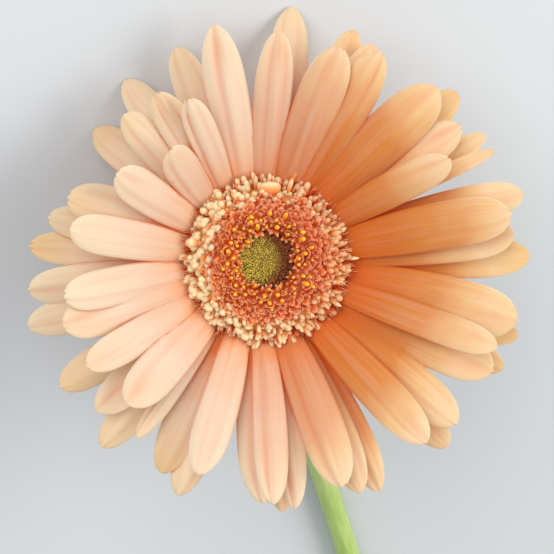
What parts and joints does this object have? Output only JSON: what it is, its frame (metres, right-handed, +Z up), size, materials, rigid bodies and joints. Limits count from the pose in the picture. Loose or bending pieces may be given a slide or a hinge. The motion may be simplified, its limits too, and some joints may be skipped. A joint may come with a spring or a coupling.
{
  "type": "gerbera flower",
  "caption": "Cut gerbera lying face up: layered strap petals round a ruffled disc with a green-yellow button, green bracts behind and a bent-necked leafless stem.",
  "frame": {"origin": "middle of the flower's outline on the surface that it lies on", "axes": "+Z up from the surface, +Y along the stem from its cut end to the head, +X to the right as the face is looked at with the stem below it"},
  "size_m": [0.1108, 0.299, 0.0708],
  "materials": {
    "stem": "living stem, smooth with fine down, soft sheen",
    "bract": "leafy green bracts, matt",
    "petal": "peach petal, satin, thin enough to glow with light behind it",
    "trans_floret": "cream and peach ruffled florets, satin",
    "disc_floret": "coral florets with yellow anthers, satin",
    "bud": "green-yellow unopened buds, matt"
  },
  "bodies": {
    "root": {"stem": "stem", "involucre": "bract", "ray_petals": "petal", "trans_florets": "trans_floret", "disc_florets": "disc_floret", "disc_buds": "bud"}
  },
  "joints": []
}
